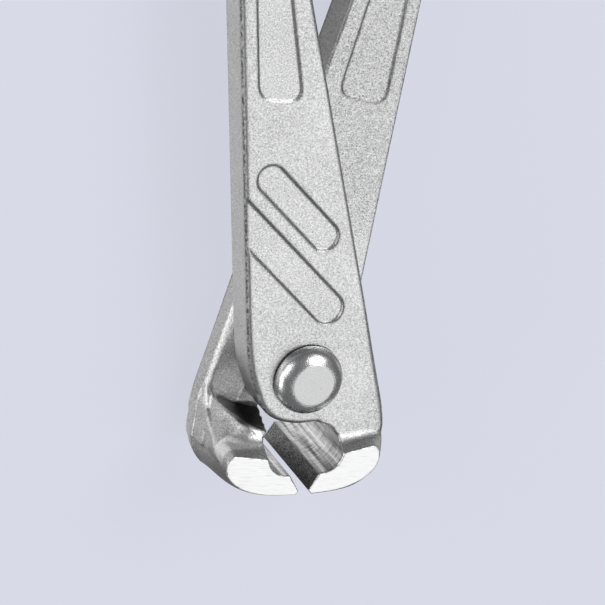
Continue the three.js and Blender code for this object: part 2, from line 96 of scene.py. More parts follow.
# Where the finishes of a forging lie, in millimetres; a pair is where a smooth step starts and ends
ON_GROUND, ON_CUT, JOINT_FOOT = 0.04, 0.08, -9
# Trimming line along the rim under the face, dark and rough: partly a real trimming line, partly painted
# shade where the rim turns away from the light
TRIM_SIDE, TRIM_REACH, TRIM_DROP, TRIM_WIDTH = (-0.9, -0.2), 1.2, 0.7, 0.6
COARSE_JAW, COARSE_PLATE, COARSE_HANDLE = (10, 17), (14, -4), (20, 32)
# Painted shade in the corner at the foot of the shoulder's wall: where it starts and ends before and behind
# the wall, in depth and along x
HOLLOW_SHADE_BEFORE, HOLLOW_SHADE_BEHIND, HOLLOW_SHADE_DEEP, HOLLOW_SHADE_ALONG = (0.7, 0.0), (-1.8, -0.3), (-8.2, -5.5), (14.5, 10.0)
# Painted shade: dark lines along the recesses' walls and along the arch's crease
RECESS_SHADE_WIDTH, ARCH_SHADE, ARCH_SHADE_WIDTH, ARCH_SHADE_WEIGHT = 0.22, 1.05, 0.07, 1.6
# Painted highlights: a bright line along the jaw's outer ridge, and bright fill in the arch's cove, brightest
# at its rims
STRIP_MIDDLE, STRIP_WIDTH, STRIP_TOP, STRIP_FOOT = 17.0, 0.6, (-4.0, -7.0), (-18.0, -16.0)
BAND_RIM, BAND_RIM_WIDTH, BAND_FOOT_WIDTH, BAND_EDGE, BAND_DEEP = 0.88, 0.08, 0.6, (1.0, 0.94), (-10.9, -10.2)

# Grid of a forging's skin: from, to, spacing
GRID_X = (-31.5, -0.9, 0.38), (-0.9, 1.5, 0.12), (1.5, 18.7, 0.34)
GRID_Y = (-25.3, -22, 0.16), (-22, 24, 0.35), (24, HANDLE_START, 0.5), (HANDLE_START, TOOL_END, 2.2)
GRID_Z = (-13.6, 13.6, 0.36),


# Outlines in the lever's plane

def bend(start, middle, end, count=12):
    """Quadratic curve: (1-t)^2 of the start, 2t(1-t) of the middle and t^2 of the end."""
    t = np.linspace(0, 1, count)[:, None]
    return (1 - t) ** 2 * np.array(start) + 2 * t * (1 - t) * np.array(middle) + t**2 * np.array(end)


def outer_edge(y):
    return -(OUTER_OFFSET + OUTER_SLOPE * y)


def inner_edge(y):
    return INNER_OFFSET - INNER_SLOPE * y


def plate_outline():
    """Straight outer edge, round end about the pivot, a little flatter below and level into the
    throat, jaw side, and the inner edge up to the handle."""
    past = HANDLE_START + HANDLE_OVERLAP
    turn = np.radians(np.linspace(*PLATE_END_TURN, 30))
    radius = PLATE_END_RADIUS - PLATE_END_FLAT * smooth(*np.radians(PLATE_END_FLATTER), turn)
    level = (THROAT_RADIUS + THROAT[1]) / np.sin(turn)
    radius = np.where(turn > 1.5 * math.pi, level, radius)
    end = np.stack([radius * np.cos(turn), radius * np.sin(turn)], 1)
    foot = (outer_edge(OUTER_FOOT), OUTER_FOOT)
    entry = bend(foot, (outer_edge(2.0), 2.0), end[0], 8)
    hip = (INNER_OFFSET - JAW_SPREAD) / INNER_SLOPE
    side = bend((JAW_SPREAD, -JAW_SIDE_TOP), (JAW_SPREAD, hip), (inner_edge(INNER_FOOT), INNER_FOOT), 14)
    seam = outer_edge(HANDLE_START) + 2 * HANDLE_HALF_WIDTH
    corner_y = (INNER_OFFSET - seam - OUTER_SLOPE * HANDLE_START) / (INNER_SLOPE - OUTER_SLOPE)
    corner = (inner_edge(corner_y), corner_y)
    neck = bend((inner_edge(INNER_TOP), INNER_TOP), corner, (seam, HANDLE_START), 10)
    return np.concatenate([
        [(outer_edge(past), past)], entry, end[1:],
        [(THROAT[0] + THROAT_RADIUS / 2, NOSE_CORNER[1]), (JAW_SPREAD - 0.6, NOSE_CORNER[1] - 0.6)],
        side, neck, [(seam - HANDLE_OVERLAP * OUTER_SLOPE, past)],
    ])


def throat_outline():
    """All that is cut between the jaws: the blunt edge, its bevel and the round throat."""
    turn = np.linspace(THROAT_START, THROAT_STOP, 60)
    wall = np.array(THROAT) + THROAT_RADIUS * np.stack([np.cos(turn), np.sin(turn)], 1)
    return np.concatenate([
        [(-90, -90), (EDGE_LAND + 65.5, -90), (EDGE_LAND, -JAW_END), (0, -EDGE_REACH)],
        wall, [(-90, wall[-1, 1])],
    ])


def rounded_corners(corners, reach):
    """Polygon whose corners become quadratic curves that start at the reach from the corner."""
    rows = []
    for i, corner in enumerate(corners):
        before = np.array(corners[i - 1]) - corner
        after = np.array(corners[(i + 1) % len(corners)]) - corner
        rows.append(bend(corner + before * reach / np.hypot(*before), corner,
                         corner + after * reach / np.hypot(*after), 6))
    return np.concatenate(rows)


def panel_outline(foot, width, climb):
    """Long tapering panel that follows the handle's outer edge; its foot climbs a little towards
    the inner edge."""
    low, high = outer_edge(foot) + PANEL_MARGIN, outer_edge(PANEL_TOP) + PANEL_MARGIN
    foot_row = [(low, foot), (low + width, foot + climb)]
    top_row = [(high + PANEL_TOP_WIDTH, PANEL_TOP), (high, PANEL_TOP)]
    return rounded_corners(foot_row + top_row, PANEL_CORNER)


# Distances, negative inside the metal

def outline_distance(x, y, corners):
    """Least distance to the outline's segments, with its sign turned by each one that a ray towards
    +x crosses."""
    nearest = np.full(np.broadcast(x, y).shape, np.inf)
    inside = np.zeros(nearest.shape, bool)
    for (ax, ay), (bx, by) in zip(corners, np.roll(corners, -1, 0)):
        ex, ey = bx - ax, by - ay
        share = np.clip(((x - ax) * ex + (y - ay) * ey) / (ex * ex + ey * ey), 0, 1)
        nearest = np.minimum(nearest, (x - ax - share * ex) ** 2 + (y - ay - share * ey) ** 2)
        if ey:
            inside ^= ((ay > y) != (by > y)) & (x < ax + (y - ay) * ex / ey)
    return np.where(inside, -1.0, 1.0) * np.sqrt(nearest)


def meet(a, b, radius):
    """What two shapes share, with the edge rounded: beyond the radius inside both, a quarter circle
    joins them."""
    corner = np.hypot(np.maximum(a + radius, 0), np.maximum(b + radius, 0))
    return np.minimum(-radius, np.maximum(a, b)) + corner


def join(a, b, radius):
    """Both shapes together, with a concave fillet of the radius between them."""
    corner = np.hypot(np.maximum(radius - a, 0), np.maximum(radius - b, 0))
    return np.maximum(radius, np.minimum(a, b)) - corner


def smooth(low, high, value):
    """Smooth step: 3t^2 - 2t^3 between the two limits."""
    t = np.clip((value - low) / (high - low), 0, 1)
    return t * t * (3 - 2 * t)


def bell(value, middle, width):
    """Bell curve: exp(-((value - middle) / width)^2)."""
    return np.exp(-(((value - middle) / width) ** 2))


def handle_middle(y):
    """Centre line of the handle: it follows the outer edge with a slight bow, and a crank takes it
    to the joint plane."""
    along = np.clip((y - HANDLE_START) / (TOOL_END - HANDLE_START), 0, 1)
    t = np.clip((y - HANDLE_START) / CRANK_LENGTH, 0, 1)
    crank = t**3 * (t * (6 * t - 15) + 10)
    x = outer_edge(y) + HANDLE_HALF_WIDTH - HANDLE_BOW * (1 - np.cos(2 * math.pi * along)) / 2
    return x, (PLATE_LOW + PLATE_HIGH) / 2 * (1 - crank), crank


def side_inset(z):
    """How far the jaw's outer side stands in from the parting line: by a parabola towards the front
    face, and by a quick exponential chamfer and a slow draft towards the joint's side."""
    up = np.maximum(z - PARTING, 0) / (HALF_JAW - PARTING)
    down = np.maximum(PARTING - z, 0)
    return FACET_INSET * up**2 + CHAMFER_INSET * (1 - np.exp(-down / CHAMFER_RUN)) + SIDE_DRAFT * down


def cove_radius(x, z):
    """Fillet at the riser's foot: its radius follows an ellipse and runs out at the jaw's outer
    side."""
    arch = np.sqrt(np.clip(1 - (np.maximum(x - COVE_MIDDLE, 0) / COVE_REACH) ** 2, 0, 1))
    return np.where(z > 0, COVE_FRONT * (0.45 + 0.55 * arch), COVE_JOINT * arch) + 0.03


def arch_share(x, y):
    """Distance from the arch's middle as a share of its ellipse, 1 on its outline."""
    return np.hypot((x - ARCH_MIDDLE[0]) / ARCH_RADII[0], (y - ARCH_MIDDLE[1]) / ARCH_RADII[1])


def wall_distance(x, y, z):
    """Height over the shoulder's wall, a plane that leans back with the depth."""
    return y * math.cos(WALL_TILT) - x * math.sin(WALL_TILT) + WALL_AWAY - WALL_DRAFT * z


def cheek_shape(x, y):
    """Fall below the cheek's top, and height of the cheek: it falls from its top to the climbing
    ridge of the outer side by exp(-distance from that side / CHEEK_FALL), a ledge that runs out
    downwards lies along the ridge, and before the riser an elliptic arch rises like a flat cone."""
    along = np.maximum(RIDGE_Y - y, 0)
    ridge = np.minimum(RIDGE_LOW + along * (RIDGE_CLIMB + along * RIDGE_BEND), CHEEK_TOP)
    past = x - CHEEK_EDGE + LEDGE_WIDTH * smooth(LEDGE_FOOT, LEDGE_TOP, y)
    fall = (CHEEK_TOP - ridge) * np.exp(np.minimum(past, 0) / CHEEK_FALL)
    rise = ARCH_RISE * np.maximum(1 - arch_share(x, y), 0) - LEDGE_FALL * np.maximum(past, 0)
    return fall, fall - CHEEK_TOP - rise


class Lever:
    """One forging as a distance field; fields are the bare obround recesses of its front face."""

    def __init__(self, fields):
        self.plate, self.throat = plate_outline(), throat_outline()
        self.front_panel, self.back_panel = panel_outline(*FRONT_PANEL), panel_outline(*BACK_PANEL)
        self.fields = fields

    def slab(self, x, y, z):
        """Joint plate with rounded rims, and on the joint side of the jaw's edge a bevel and a long
        forged slope."""
        edge = outline_distance(x, y, self.plate)
        rim = PLATE_RIM + (END_RIM - PLATE_RIM) * smooth(*RIM_GROWTH, y)
        body = meet(meet(edge, z - PLATE_HIGH, rim), PLATE_LOW - z, JOINT_RIM)
        share = smooth(RELIEF_TOP, RELIEF_TOP - RELIEF_FADE, y)
        bevel = (edge + PLATE_LOW + (RELIEF_HEIGHT + RELIEF_BEVEL) * share - z) / math.sqrt(2)
        slope = RELIEF_WIDTH / RELIEF_HEIGHT * (1 + RELIEF_WIDENING * smooth(*RELIEF_WIDER, y))
        slant = edge + RELIEF_BEVEL + RELIEF_HEIGHT * slope * share - (z - PLATE_LOW) * slope
        relief = meet(bevel, slant / np.hypot(1, slope), RELIEF_ROUND)
        return np.where((x > WALL_END) & (y < RELIEF_TOP), meet(body, relief, JOINT_RIM), body)

    def bar(self, x, y, z):
        """Handle: a rounded oblong section carried along its centre line."""
        middle, height, crank = handle_middle(y)
        radius = PLATE_RIM + (HANDLE_ROUND - PLATE_RIM) * crank
        across = np.abs(x - middle) - HANDLE_HALF_WIDTH + radius
        up = np.abs(z - height) - HANDLE_HALF_THICKNESS + radius
        section = np.hypot(np.maximum(across, 0), np.maximum(up, 0)) + np.minimum(np.maximum(across, up), 0)
        return np.maximum(np.maximum(section - radius, HANDLE_START - y), y - HANDLE_END)

    def lobe(self, x, y, z):
        """Jaw end over the full width: an elliptic corner, fullest at the parting line, and a riser
        that leans back past the plate. For p over the radii r the corner's distance is |p/r| (|p/r|
        - 1) / |p/r^2|."""
        joint_share = (HALF_JAW - PARTING) / (HALF_JAW + PARTING)
        share = np.where(z > PARTING, z - PARTING, (PARTING - z) * joint_share)
        share = (share / (HALF_JAW - PARTING)) ** 2
        wide = JAW_SPREAD - side_inset(z) - NOSE_CORNER[0]
        deep = NOSE_DEPTH + (FACET_DEPTH - NOSE_DEPTH) * share + NOSE_CORNER[1]
        across, down = np.maximum(x - NOSE_CORNER[0], 0.01), np.minimum(y - NOSE_CORNER[1], 0)
        near = np.hypot(across / wide, down / deep)
        corner = near * (near - 1) / np.hypot(across / wide**2, down / deep**2)
        past = np.maximum(np.abs(z) - PLATE_HIGH, 0) / (HALF_JAW - PLATE_HIGH)
        riser = y + NOSE_TOP + past * (RISER_LEAN - RISER_SLANT * (x - COVE_MIDDLE))
        return meet(corner, riser, NOSE_SHOULDER)

    def shoulder(self, x, y, z):
        """Metal that carries the jaw past the joint plane: a leaning wall, a rounded crest, the
        cheek and the outer side."""
        wall = wall_distance(x, y, z)
        fall, height = cheek_shape(x, y)
        cheek = (height - z) / np.hypot(1, fall / CHEEK_FALL)
        outer = x - JAW_SPREAD + side_inset(z)
        body = meet(meet(wall / math.hypot(1, WALL_DRAFT), cheek, CREST_ROUND), outer, RIDGE_ROUND)
        return np.maximum(body, np.maximum(np.maximum(WALL_END - x, NOSE_CORNER[1] - y), z - PARTING))

    def recess(self, edge, depth, below):
        """Sunk panel: below is the distance under the face; its walls slope in with the depth."""
        return meet(edge + RECESS_DRAFT * below, below - depth, RECESS_ROUND)

    def pill(self, x, y, field):
        """Obround laid across the plate: the distance to its middle line less half its width."""
        cx, cy, length, width = field
        along = (x - cx) * math.cos(FIELD_TILT) + (y - cy) * math.sin(FIELD_TILT)
        across = (y - cy) * math.cos(FIELD_TILT) - (x - cx) * math.sin(FIELD_TILT)
        return np.hypot(np.maximum(np.abs(along) - (length - width) / 2, 0), across) - width / 2

    def distance(self, x, y, z):
        """The whole forging: forms joined with fillets, then the machined cuts, which stay crisp."""
        fillet = WALL_FILLET + FILLET_GROWTH * smooth(*FILLET_GROWS, x)
        fillet = fillet * smooth(JAW_SPREAD - FILLET_ENDS[0], JAW_SPREAD - FILLET_ENDS[1], x) + LEAST_FILLET
        body = join(self.slab(x, y, z), self.shoulder(x, y, z), fillet)
        body = np.minimum(body, self.bar(x, y, z))
        body = join(body, self.lobe(x, y, z), cove_radius(x, z))
        for edge, depth, below in self.sunk(x, y, z):
            body = meet(body, -self.recess(edge, depth, below), RECESS_ROUND)
        cuts = np.maximum(np.abs(z) - HALF_JAW, -JAW_END - y)
        cuts = np.maximum(cuts, -outline_distance(x, y, self.throat))
        return np.maximum(body, np.maximum(cuts, BORE_RADIUS - np.hypot(x, y)))

    def sunk(self, x, y, z):
        """Edge distance, depth and distance under the face of every recess."""
        rows = [(outline_distance(x, y, self.front_panel), PANEL_DEPTH, PLATE_HIGH - z),
                (outline_distance(x, y, self.back_panel), PANEL_DEPTH, z - PLATE_LOW)]
        return rows + [(self.pill(x, y, field), FIELD_DEPTH, PLATE_HIGH - z) for field in self.fields]


# Meshes

def spaced(*stretches):
    """Grid lines: each stretch is (from, to, spacing), and the next one starts where the last one
    ends."""
    rows = [np.linspace(a, b, max(2, round((b - a) / step) + 1))[:-1] for a, b, step in stretches]
    return np.concatenate(rows + [[stretches[-1][1]]])


def skin(distance, xs, ys, zs):
    """Closed surface where the distance is nought. Every grid cell that the surface crosses gets
    one point, the mean of its crossed edges, and every crossed edge a four-sided face between the
    points of its four cells. Two Newton steps along the distance's slope then bring the points onto
    the surface."""
    value = distance(xs[:, None, None], ys[None, :, None], zs[None, None, :])
    axes = (xs, ys, zs)
    cells = tuple(n - 1 for n in value.shape)
    total, count = np.zeros(cells + (3,)), np.zeros(cells)
    crossings = []
    for axis in range(3):
        a = np.moveaxis(value, axis, 0)
        crossed = np.argwhere((a[:-1] < 0) != (a[1:] < 0))
        others = [k for k in range(3) if k != axis]
        index = np.empty_like(crossed)
        index[:, axis], index[:, others[0]], index[:, others[1]] = crossed.T
        inner = (index > 0).all(1) | (index[:, others] > 0).all(1)
        index = index[inner & (index[:, others] < np.array(cells)[others]).all(1)]
        step = np.zeros(3, int)
        step[axis] = 1
        first, second = value[tuple(index.T)], value[tuple((index + step).T)]
        place = np.stack([axes[k][index[:, k]] for k in range(3)], 1)
        place[:, axis] += (axes[axis][index[:, axis] + 1] - place[:, axis]) * first / (first - second)
        around = np.zeros((4, 3), int)
        around[[1, 2], others[0]] = -1
        around[[2, 3], others[1]] = -1
        quad = index[:, None, :] + around[None]
        for corner in range(4):
            np.add.at(total, tuple(quad[:, corner].T), place)
            np.add.at(count, tuple(quad[:, corner].T), 1)
        turned = (first > 0) != (axis == 1)
        crossings.append(np.where(turned[:, None, None], quad[:, ::-1], quad))
    number = np.full(cells, -1)
    used = count > 0
    number[used] = np.arange(used.sum())
    points = total[used] / count[used][:, None]
    faces = np.concatenate([number[tuple(np.moveaxis(q, 2, 0))] for q in crossings])
    return settle(points, distance), faces


def settle(points, distance, reach=0.2, step=0.02):
    """Newton steps: each point moves by its distance over the slope's square, along the slope,
    within the reach."""
    for _ in range(2):
        here = distance(*points.T)
        slope = np.stack([distance(*(points + step * unit).T) - here for unit in np.eye(3)], 1) / step
        points = points - slope * np.clip(here / np.maximum((slope**2).sum(1), 0.1), -reach, reach)[:, None]
    return points


def grid_faces(rows, columns):
    """Faces of a tube of points: rows along it and columns round it, closed round."""
    index = np.arange(rows * columns).reshape(rows, columns)
    right = np.roll(index, -1, 1)
    return np.stack([index[:-1], right[:-1], right[1:], index[1:]], -1).reshape(-1, 4)


def tube(rings):
    """Closed tube over rings of points, with a middle point at each end."""
    rows, columns = rings.shape[:2]
    points = np.concatenate([rings.reshape(-1, 3), [rings[0].mean(0), rings[-1].mean(0)]])
    first, last = np.arange(columns), np.arange(columns) + (rows - 1) * columns
    caps = [np.stack([np.roll(first, -1), first, np.full(columns, rows * columns)], 1),
            np.stack([last, np.roll(last, -1), np.full(columns, rows * columns + 1)], 1)]
    return points, grid_faces(rows, columns), np.concatenate(caps)


def front_place(points):
    """Lever frame to the tool's frame for the front half: opened by half the rest angle, raised to
    the pivot's height."""
    c, s = math.cos(REST_HALF), math.sin(REST_HALF)
    x, y, z = points.T
    return np.stack([c * x - s * y, s * x + c * y, z + HALF_JAW], 1)


def rear_place(points):
    """The same for the rear half, which is then turned half a turn about the y axis."""
    placed = front_place(points)
    return np.stack([-placed[:, 0], placed[:, 1], 2 * HALF_JAW - placed[:, 2]], 1)


def piece(name, points, faces, finish, body, node, ends=None, marks=None):
    """Mesh in metres from points in millimetres, shaded smooth, with named marks on its points."""
    mesh = bpy.data.meshes.new(name)
    loose = [f.tolist() for f in ([faces] if ends is None else [faces, ends])]
    mesh.from_pydata((points * MM).tolist(), [], [f for group in loose for f in group])
    mesh.polygons.foreach_set("use_smooth", np.ones(len(mesh.polygons), bool))
    for mark, values in (marks or {}).items():
        mesh.attributes.new(mark, "FLOAT", "POINT").data.foreach_set("value", values.astype(np.float32))
    mesh.materials.append(finish)
    made = bpy.data.objects.new(name, mesh)
    bpy.context.scene.collection.objects.link(made)
    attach(made, body)
    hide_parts(node)
    return made


# Finishes

class Wire:
    """A shader socket in Python expressions: each operation adds a Math node."""

    def __init__(self, finish, socket):
        self.finish, self.socket = finish, socket

    def math(self, operation, *values, clamp=False):
        settings = {"operation": operation, "use_clamp": clamp}
        return self.finish.wire("ShaderNodeMath", settings, dict(enumerate(values)))

    def __add__(self, other): return self.math("ADD", self, other)
    def __sub__(self, other): return self.math("SUBTRACT", self, other)
    def __rsub__(self, other): return self.math("SUBTRACT", other, self)
    def __mul__(self, other): return self.math("MULTIPLY", self, other)
    def __truediv__(self, other): return self.math("DIVIDE", self, other)
    def __pow__(self, other): return self.math("POWER", self, other)
    __radd__, __rmul__ = __add__, __mul__

    def clamp(self):
        return self.math("ADD", self, 0.0, clamp=True)

    def ease(self, low, high):
        """0 below low, 1 above high, smooth between."""
        return self.finish.wire("ShaderNodeMapRange", {"interpolation_type": "SMOOTHSTEP"},
                                {0: self, 1: low, 2: high, 3: 0.0, 4: 1.0})


class Finish:
    """One material and its nodes."""

    def __init__(self, name):
        self.material = bpy.data.materials.new(name)
        self.material.use_nodes = True
        self.tree = self.material.node_tree
        self.tree.nodes.clear()

    def node(self, kind, settings=(), inputs=()):
        """A node of the kind, its settings set first, then the values or links of its sockets."""
        made = self.tree.nodes.new(kind)
        for key, value in dict(settings).items():
            setattr(made, key, value)
        for key, value in dict(inputs).items():
            if isinstance(value, Wire):
                self.tree.links.new(value.socket, made.inputs[key])
            else:
                made.inputs[key].default_value = value
        return made

    def wire(self, kind, settings=(), inputs=(), output=0):
        return Wire(self, self.node(kind, settings, inputs).outputs[output])

    def place(self, scale=(1, 1, 1), turn=0.0):
        """Object coordinates in millimetres, turned about z and stretched."""
        coordinates = self.wire("ShaderNodeTexCoord", output="Object")
        size = tuple(s / MM for s in scale)
        turned = self.wire("ShaderNodeMapping", {}, {0: coordinates, 2: (0, 0, turn)})
        return self.wire("ShaderNodeVectorMath", {"operation": "MULTIPLY"}, {0: turned, 1: size})

    def noise(self, place, scale, detail=2.0, rough=0.5):
        return self.wire("ShaderNodeTexNoise", {}, {"Vector": place, "Scale": scale, "Detail": detail,
                                                    "Roughness": rough})

    def mark(self, name):
        return self.wire("ShaderNodeAttribute", {"attribute_name": name}, output="Fac")

    def mix(self, share, a, b):
        """Colour between a and b."""
        return self.wire("ShaderNodeMix", {"data_type": "RGBA"}, {0: share, 6: a, 7: b}, output=2)

    def along(self, axis):
        """Object coordinate along one axis, in millimetres."""
        return self.wire("ShaderNodeSeparateXYZ", {}, {0: self.place()}, output=axis)

    def surface(self, bumps, **sockets):
        """Principled surface; bumps are (height, distance in millimetres, strength), one after the
        other."""
        normal = None
        for value, reach, strength in bumps:
            inputs = {"Height": value, "Distance": reach * MM, "Strength": strength}
            if normal is not None:
                inputs["Normal"] = normal
            normal = self.wire("ShaderNodeBump", {}, inputs)
        inputs = {key.replace("_", " "): value for key, value in sockets.items()}
        if normal is not None:
            inputs["Normal"] = normal
        shader = self.wire("ShaderNodeBsdfPrincipled", {}, inputs)
        self.node("ShaderNodeOutputMaterial", {}, {0: shader})
        return self.material


def grey(value):
    return (value, value, value, 1.0)


def zinc_forging(name, coarse):
    """Blasted, zinc plated forging: fine grain, coarser wrinkles by the mark rough, bright ground faces,
    milled throat and dark edge bevel by the marks ground, milled and bevel, and by marks of their
    own a dark, rough trimming line under the face's rim that is partly painted shade, painted
    highlights on the ridge and in the arch's cove, and painted shade round the recesses, along the
    arch's crease and in the corner under the shoulder."""
    f = Finish(name)
    place = f.place()
    grain = f.noise(place, 3.2, 3.0, 0.7)
    wrinkle = f.noise(place, 1.6, 3.0, 0.6)
    cloud = f.noise(place, 0.06, 2.0)
    rough, trim_and_shade = f.mark("rough"), f.mark("trim_and_shade")
    ground, milled, bevel = f.mark("ground"), f.mark("milled"), f.mark("bevel")
    machined = (ground + milled + bevel).clamp()
    forged = 1 - machined
    speck = (grain - 0.5) * 4.2 + (wrinkle - 0.5) * (0.5 + rough * coarse * 1.3)
    tone = (0.56 + speck * 0.5 + (cloud - 0.5) * 0.25).clamp()
    colour = f.mix(tone, grey(0.2), grey(0.8))
    # Dark trimming line along the rim: partly real, partly painted shade where the rim turns away from the
    # light
    colour = f.mix(trim_and_shade * f.noise(place, 1.6, 2.0, 0.6).ease(0.35, 0.6), colour, grey(0.08))
    # Painted shade: darker lines along the recesses' walls and the arch's crease, by the mark seam
    colour = f.mix(f.mark("seam") * 0.45, colour, grey(0.12))
    # Painted highlight: near-white colour on the outer ridge and in the arch's cove, speckled by the grain
    colour = f.mix(f.mark("painted_highlight") * (0.85 + (grain - 0.5) * 2.4).clamp(), colour, grey(1.0))
    # Painted shade: near-black colour in the corner at the foot of the shoulder's wall
    colour = f.mix(f.mark("hollow_shade"), colour, grey(0.05))
    lines = f.noise(f.place((0.25, 7.0, 1.0), math.radians(8)), 1.0, 3.0, 0.6)
    colour = f.mix(ground, colour, f.mix(lines.ease(0.3, 0.5), grey(0.58), grey(0.74)))
    arcs = f.wire("ShaderNodeCombineXYZ", {}, {0: f.mark("throat_arc") * 0.8, 2: f.along(2) * 0.05})
    bands = f.wire("ShaderNodeCombineXYZ", {}, {0: f.mark("throat_arc") * 0.25, 2: f.along(2) * 1.6})
    streak = f.noise(arcs, 1.0, 4.0, 0.7)
    chatter = f.noise(bands, 1.0, 2.0, 0.6)
    swarf = ((streak - 0.5) * 3.4 + (chatter - 0.5) * 1.2 + 0.6).clamp()
    colour = f.mix(milled, colour, f.mix(swarf, grey(0.12), grey(0.98)))
    colour = f.mix(bevel, colour, f.mix(grain.ease(0.42, 0.62), grey(0.07), grey(0.42)))
    blasted = 0.34 + (grain - 0.5) * 0.2 + trim_and_shade * 0.2
    roughness = forged * blasted + ground * 0.34 + milled * 0.26 + bevel * 0.45
    skin_height = grain * 0.12 + wrinkle * (0.06 + rough * 0.34 * coarse)
    return f.surface(
        [(skin_height * forged, 0.45, 0.8), (lines * ground * 0.4 + streak * milled, 0.05, 0.5)],
        Base_Color=colour, Metallic=1.0, Roughness=roughness)


def rivet_steel():
    """Pressed rivet head: smooth dome with faint flow marks, matt grained flat and painted shade, a
    dark line at the foot where the head meets the plate."""
    f = Finish("rivet_steel")
    grain = f.noise(f.place(), 3.0, 3.0, 0.6)
    flow = f.noise(f.place(), 0.7, 2.0)
    flat, foot = f.mark("flat"), f.mark("foot")
    dome = f.mix((flow * 0.7 + grain * 0.3).clamp(), grey(0.55), grey(0.8))
    colour = f.mix(flat, dome, f.mix(grain, grey(0.45), grey(0.78)))
    # Painted shade: a dark line round the head's foot, where it meets the plate
    colour = f.mix(foot, colour, grey(0.05))
    roughness = 0.27 + flat * 0.18 + (grain - 0.5) * 0.16
    bumps = [(grain * (0.35 + flat * 0.65), 0.14, 0.6)]
    return f.surface(bumps, Base_Color=colour, Metallic=1.0, Roughness=roughness)


def dipped_plastic(name):
    """Satin dark plastic sleeve: fine pebble, faint clouding."""
    f = Finish(name)
    pebble = f.noise(f.place(), 1.6, 2.0, 0.5)
    cloud = f.noise(f.place(), 0.08, 3.0)
    colour = f.mix((cloud * 0.7 + pebble * 0.3).clamp(), (0.018, 0.020, 0.024, 1), (0.034, 0.037, 0.042, 1))
    return f.surface([(pebble, 0.25, 0.35)], Base_Color=colour, Roughness=0.42 + (pebble - 0.5) * 0.16)


# Pieces

def machined_marks(x, y, z):
    """1 on the ground planes, on the throat's circle and on the bevel between edge and throat, else
    0."""
    nose = (np.abs(y + JAW_END) < ON_GROUND) & (x < JAW_SPREAD)
    ground = (np.abs(np.abs(z) - HALF_JAW) < ON_GROUND) | nose
    from_throat = np.hypot(x - THROAT[0], y - THROAT[1])
    milled = (np.abs(from_throat - THROAT_RADIUS) < ON_CUT) & (y < JOINT_FOOT) & ~ground
    stop = np.array(THROAT) + THROAT_RADIUS * np.array([math.cos(THROAT_START), math.sin(THROAT_START)])
    run = stop - (0, -EDGE_REACH)
    off = np.abs((x * run[1] - (y + EDGE_REACH) * run[0]) / np.hypot(*run))
    bevel = (off < ON_CUT) & (y < stop[1] + 0.1) & (x < stop[0] + 0.2) & ~ground
    return ground, milled, bevel


def lever_marks(points, forging):
    """Where each finish lies, from the point's place in the lever: on the machined faces, along the
    rim under the plate's faces (a trimming line, partly painted shade), where the skin is coarser,
    painted shade in the corner under the shoulder, round the recesses and along the arch's crease,
    and painted highlights on the ridge and in the arch's cove."""
    x, y, z = points.T
    ground, milled, bevel = machined_marks(x, y, z)
    edge = outline_distance(x, y, forging.plate)
    # Trimming line under the rim, partly painted shade where the rim turns away from the light
    side = smooth(*TRIM_SIDE, edge) * (np.abs(edge) < TRIM_REACH) * (y > JOINT_FOOT)
    coarse_jaw = smooth(*COARSE_JAW, x) * smooth(*COARSE_PLATE, y) * (z > 4)
    coarse_joint = (z < 1) * (0.2 + 0.8 * smooth(*COARSE_HANDLE, y))
    wall = wall_distance(x, y, z)
    # Painted shade in the corner at the foot of the shoulder's wall
    hollow_shade = smooth(*HOLLOW_SHADE_BEFORE, wall) * smooth(*HOLLOW_SHADE_BEHIND, wall) * (z < 1)
    hollow_shade = hollow_shade * smooth(*HOLLOW_SHADE_DEEP, z) * smooth(*HOLLOW_SHADE_ALONG, x) * ~milled
    share = arch_share(x, y)
    # Painted shade along the arch's crease on the joint side
    seam = bell(share, ARCH_SHADE, ARCH_SHADE_WIDTH) * ARCH_SHADE_WEIGHT * (z < -3) * (y > NOSE_CORNER[1])
    # Painted shade along the walls of every recess
    for walled, depth, under in forging.sunk(x, y, z):
        seam = seam + bell(walled, 0, RECESS_SHADE_WIDTH) * (np.abs(under - depth / 2) < depth)
    # Painted highlight along the jaw's outer ridge
    strip = bell(x, STRIP_MIDDLE, STRIP_WIDTH) * smooth(*STRIP_TOP, y) * smooth(*STRIP_FOOT, y)
    strip = strip * (np.abs(z - cheek_shape(x, y)[1]) < 0.9) * (z < 0)
    # Painted highlight in the arch's cove, brightest at its rims and along the riser's foot
    rims = bell(share, BAND_RIM, BAND_RIM_WIDTH) + bell(y, -NOSE_TOP, BAND_FOOT_WIDTH)
    band = smooth(*BAND_EDGE, share) * (0.5 + 0.5 * np.minimum(rims, 1)) * smooth(*BAND_DEEP, z) * (z < -6)
    turn = np.arctan2(y - THROAT[1], x - THROAT[0])
    return {
        "ground": ground * 1.0, "milled": milled * 1.0, "bevel": bevel * 1.0,
        "trim_and_shade": side * bell(z, PLATE_HIGH - TRIM_DROP, TRIM_WIDTH),
        "rough": np.clip(coarse_jaw + coarse_joint, 0, 1),
        "hollow_shade": hollow_shade,
        "seam": np.clip(seam, 0, 1),
        "painted_highlight": np.maximum(strip, band) * ~milled * ~ground,
        "throat_arc": turn * THROAT_RADIUS,
    }


def make_lever(name, fields, place, body, finish):
    """Lever's skin on a grid that is finest at the cutting edge, fine at the jaw and coarse along
    the handle."""
    forging = Lever(fields)
    points, faces = skin(forging.distance, spaced(*GRID_X), spaced(*GRID_Y), spaced(*GRID_Z))
    return piece(name, place(points), faces, finish, body, name.replace("_forging", ""),
                 marks=lever_marks(points, forging))


